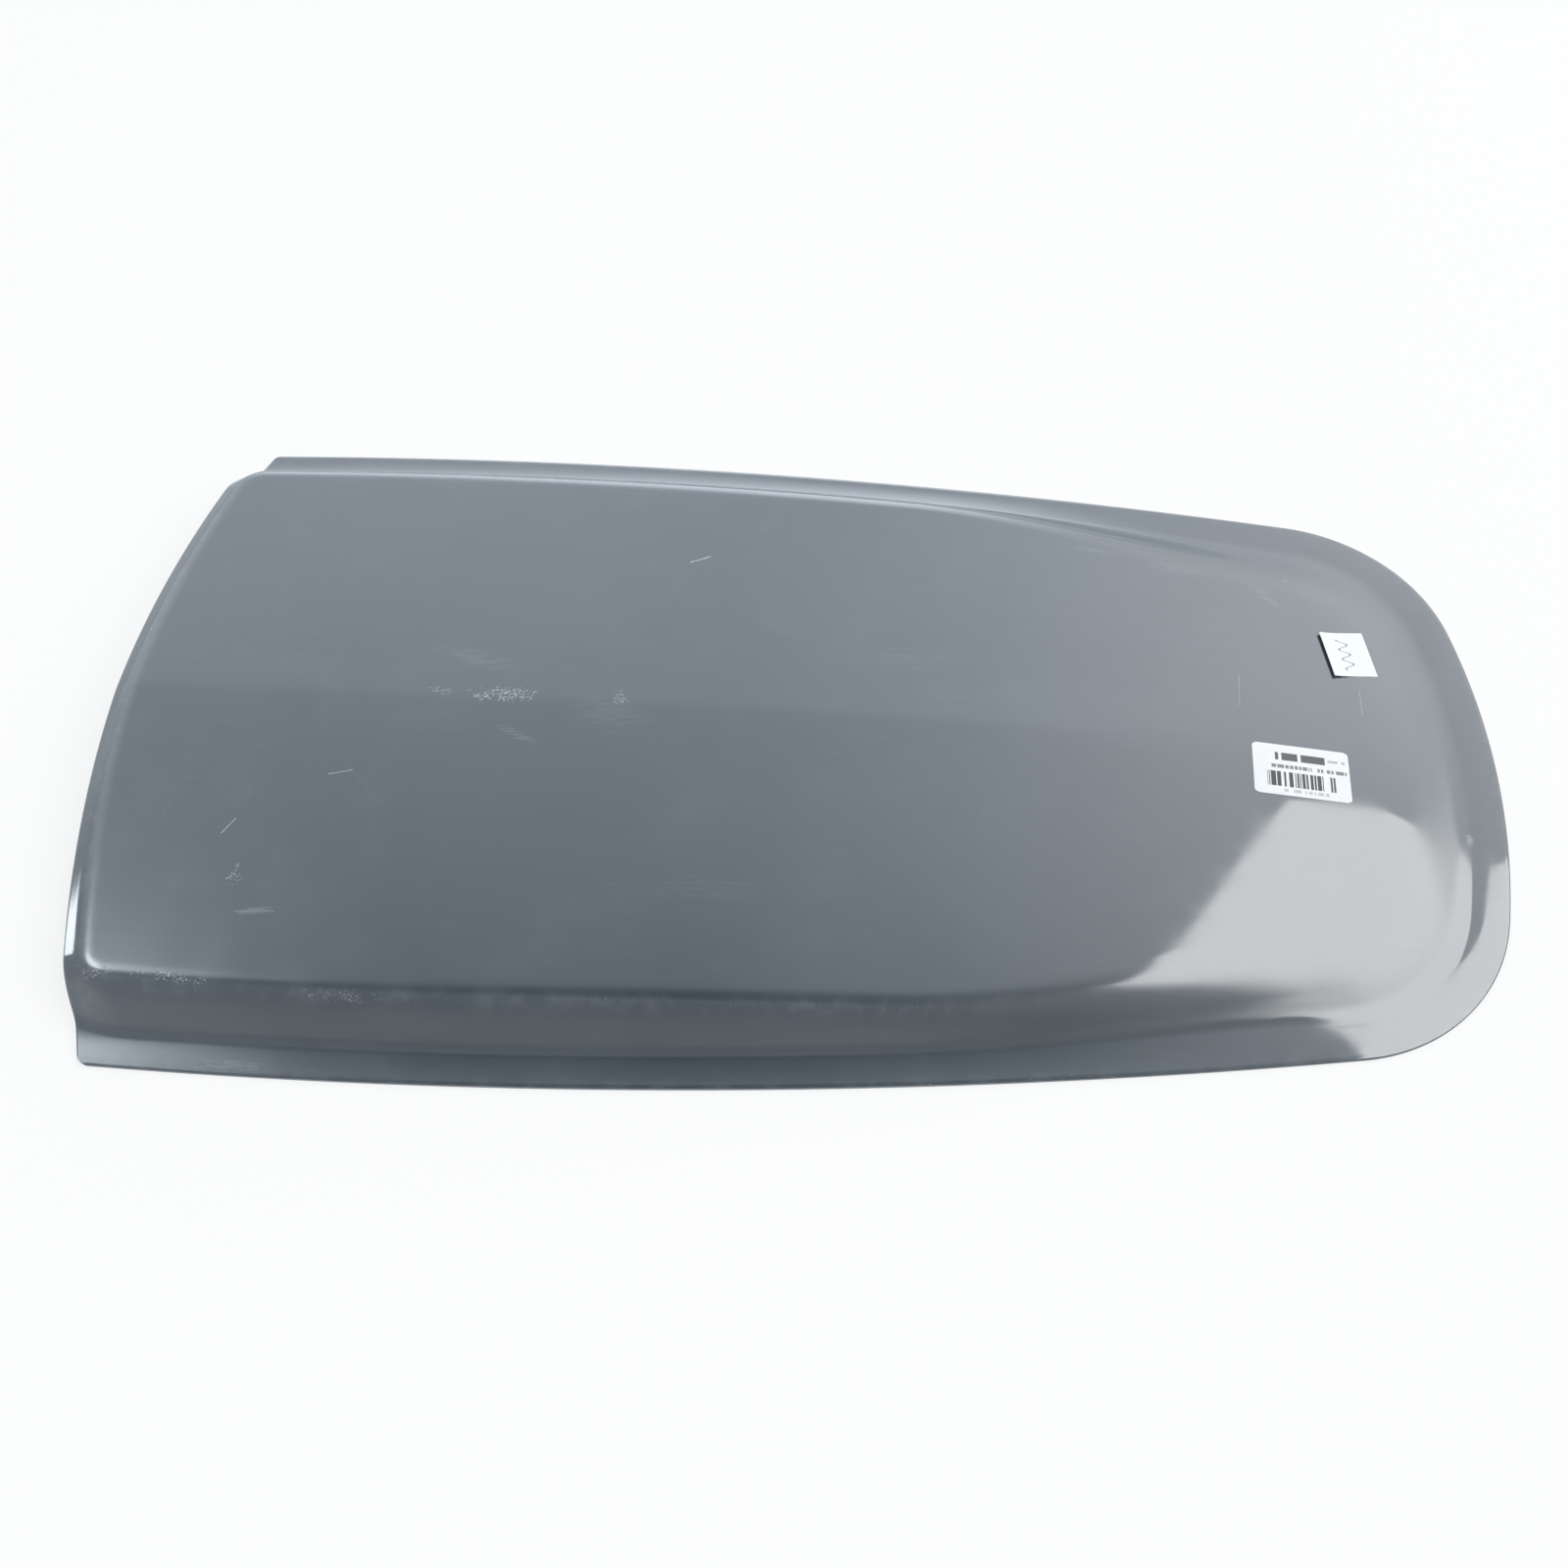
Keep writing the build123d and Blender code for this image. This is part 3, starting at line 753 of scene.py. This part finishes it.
def makeFloor():
    half = floorSheet["size"] / 2
    u, v = np.meshgrid(np.linspace(-half, half, 3), np.linspace(-half, half, 3), indexing="ij")
    points = np.stack([u, v, np.full_like(u, floorSheet["z"])], -1).reshape(-1, 3)
    piece = meshFrom("floor", points, quads(np.arange(u.size).reshape(u.shape)))
    mat = bpy.data.materials.new("paleFloor")
    mat.use_nodes = True
    tree = mat.node_tree
    shader = tree.nodes["Principled BSDF"]
    shader.inputs["Base Color"].default_value = (*floorSheet["colour"], 1)
    shader.inputs["Roughness"].default_value = floorSheet["rough"]
    shader.inputs["Specular IOR Level"].default_value = floorSheet["specular"]
    rays = put(tree, "ShaderNodeLightPath").outputs
    shade = tint(tree, rays["Is Camera Ray"], floorSheet["cool"], (1, 1, 1))
    glow = put(tree, "ShaderNodeEmission", {"Strength": 1.0, "Color": shade})
    seen = calc(tree, "MAXIMUM", rays["Is Camera Ray"], rays["Is Glossy Ray"])
    seen = calc(tree, "MULTIPLY", seen, floorSheet["glow"])
    seen = calc(tree, "MAXIMUM", seen, calc(tree, "MULTIPLY", rays["Is Diffuse Ray"], floorSheet["bounce"]))
    lit = put(tree, "ShaderNodeMixShader", {0: seen, 1: shader.outputs[0], 2: glow.outputs[0]})
    clear = put(tree, "ShaderNodeBsdfTransparent")
    back = put(tree, "ShaderNodeNewGeometry").outputs["Backfacing"]
    both = put(tree, "ShaderNodeMixShader", {0: back, 1: lit.outputs[0], 2: clear.outputs[0]})
    tree.links.new(both.outputs[0], tree.nodes["Material Output"].inputs["Surface"])
    piece.data.materials.append(mat)


makeFloor()

# studio: a many-sided softbox beyond the tail, a four-sided one beyond the mouth, a low lamp for the lip;
# about: the point that each is seen from, way: the direction to it, corners: right and up of that line
studio = dict(
    tailBox=dict(
        about=(269.0, -36.0, 18.0), way=(0.600, 0.081, 0.796), distance=8000.0, strength=4.6,
        colour=(1, 1, 1),
        corners=[(-2950, 650), (-2200, -3000), (800, -4300), (3200, -4300), (4450, -1000), (4450, 800),
                 (3300, 1650), (2000, 2100), (-1520, 2100)],
    ),
    mouthBox=dict(
        about=(-340.0, -160.0, 33.0), way=(-0.610, 0.030, 0.792), distance=8000.0, strength=9.5,
        colour=(0.90, 0.99, 1.06), corners=[(-900, -950), (900, -950), (900, 1050), (-900, 1050)],
    ),
    lipLamp=dict(
        about=(-376.0, -150.0, 28.0), way=(-0.987, 0.152, 0.055), distance=8000.0, strength=6.0,
        colour=(0.92, 1.0, 1.04),
        corners=[(-380, 0), (-280, -250), (0, -360), (280, -230), (640, 0),
                 (280, 230), (0, 360), (-280, 250)],
    ),
    # the world around them, by the X, Y and Z of the ray
    nearSide=0.12, backdrop=1.45, rampY=(-0.2, 0.75),
    farWall=1.8, farY=(0.78, 0.92), farX=(0.3, 0.05),           # a bright strip far off, gone to the right
    rightGlow=1.0, rightX=(-0.1, 0.65), leftGlow=0.7, leftX=(-0.45, -0.85),
    glowNear=0.6, glowZ=(0.1, 0.5), glowLow=0.15,               # less on the near side and near the horizon
    horizon=0.45, horizonZ=(0.97, 0.75),                        # least level, none straight overhead
    horizonLeft=(-0.3, -0.6), horizonBoost=1.5,                 # brighter to the left
    diffuseShare=0.55,                                          # of what the gloss sees
    coolLeft=(0.92, 1.0, 1.10), plainRight=(0.97, 1.0, 1.03),
)


# softbox: a flat face square to the line from the object, seen by the gloss and not by the camera
def makeSoftbox(name, box):
    way = Vector(box["way"]).normalized()
    right = way.cross(Vector((0, 0, 1))).normalized()
    up = right.cross(way)
    across, above = np.array(box["corners"]).T
    middle = np.array(Vector(box["about"]) + way * box["distance"])
    points = middle + np.outer(across, right) + np.outer(above, up)
    piece = meshFrom(name, points, np.arange(len(points))[None, :])
    mat = bpy.data.materials.new(name)
    mat.use_nodes = True
    tree = mat.node_tree
    tree.nodes.remove(tree.nodes["Principled BSDF"])
    glow = put(tree, "ShaderNodeEmission", {"Strength": box["strength"], "Color": (*box["colour"], 1)})
    tree.links.new(glow.outputs[0], tree.nodes["Material Output"].inputs["Surface"])
    piece.data.materials.append(mat)
    piece.visible_camera = False


makeSoftbox("tailSoftbox", studio["tailBox"])
makeSoftbox("mouthSoftbox", studio["mouthBox"])
makeSoftbox("lipLamp", studio["lipLamp"])


# world: a ramp from the dim near side to the pale backdrop, plus the far strip and the glow to both sides,
# at least the horizon's level; the gloss sees it in full, the camera and glass see white
def makeWorld():
    world = bpy.data.worlds.new("studio")
    scene.world = world
    world.use_nodes = True
    tree = world.node_tree
    way = put(tree, "ShaderNodeSeparateXYZ", {0: put(tree, "ShaderNodeTexCoord").outputs["Generated"]})
    wayX, wayY, wayZ = (way.outputs[axis] for axis in "XYZ")
    level = span(tree, wayY, *studio["rampY"], studio["nearSide"], studio["backdrop"])
    far = span(tree, wayY, *studio["farY"], 0.0, studio["farWall"])
    level = calc(tree, "ADD", level, calc(tree, "MULTIPLY", far, span(tree, wayX, *studio["farX"])))
    right = span(tree, wayX, *studio["rightX"], 0.0, studio["rightGlow"])
    left = span(tree, wayX, *studio["leftX"], 0.0, studio["leftGlow"])
    nearer = span(tree, wayY, *studio["rampY"], studio["glowNear"], 1.0)
    higher = span(tree, wayZ, *studio["glowZ"], studio["glowLow"], 1.0)
    glow = calc(tree, "MULTIPLY", calc(tree, "MULTIPLY", calc(tree, "ADD", right, left), nearer), higher)
    level = calc(tree, "ADD", level, glow)
    low = span(tree, wayZ, *studio["horizonZ"], 0.0, studio["horizon"])
    low = calc(tree, "MULTIPLY", low, span(tree, wayX, *studio["horizonLeft"], 1.0, studio["horizonBoost"]))
    level = calc(tree, "MAXIMUM", level, low)
    rays = put(tree, "ShaderNodeLightPath").outputs
    share = span(tree, rays["Is Glossy Ray"], 0.0, 1.0, studio["diffuseShare"], 1.0)
    level = calc(tree, "MULTIPLY", level, share)
    seen = calc(tree, "MAXIMUM", rays["Is Camera Ray"], rays["Is Transmission Ray"])
    strength = put(tree, "ShaderNodeMix", {"Factor": seen, "A": level, "B": 1.0}).outputs[0]
    shade = tint(tree, span(tree, wayX, *studio["rightX"]), studio["coolLeft"], studio["plainRight"])
    background = tree.nodes["Background"]
    tree.links.new(strength, background.inputs["Strength"])
    tree.links.new(tint(tree, seen, shade, (1, 1, 1)), background.inputs["Color"])


makeWorld()

# camera fitted to the photo's outline, ridge and shoulders
view = dict(
    azimuth=6.772, elevation=60.171, roll=-3.627, distance=787.741, target=(-6.861, -25.473, 0.0),
    lens=31.5, sensor=36.0, near=0.01, far=50.0,
)


def makeCamera():
    a, e, r = (math.radians(view[k]) for k in ("azimuth", "elevation", "roll"))
    back = Vector((math.sin(a) * math.cos(e), -math.cos(a) * math.cos(e), math.sin(e)))
    right = (-back).cross(Vector((0, 0, 1))).normalized()
    up = right.cross(-back)
    right, up = math.cos(r) * right + math.sin(r) * up, -math.sin(r) * right + math.cos(r) * up
    place = (Vector(view["target"]) + back * view["distance"]) * 0.001
    data = bpy.data.cameras.new("camera")
    data.lens, data.sensor_width, data.sensor_fit = view["lens"], view["sensor"], "HORIZONTAL"
    data.clip_start, data.clip_end = view["near"], view["far"]
    camera = bpy.data.objects.new("camera", data)
    scene.collection.objects.link(camera)
    camera.matrix_world = Matrix(((right.x, up.x, back.x, place.x), (right.y, up.y, back.y, place.y),
                                  (right.z, up.z, back.z, place.z), (0, 0, 0, 1)))
    scene.camera = camera


makeCamera()
print("floor, lights and camera done")
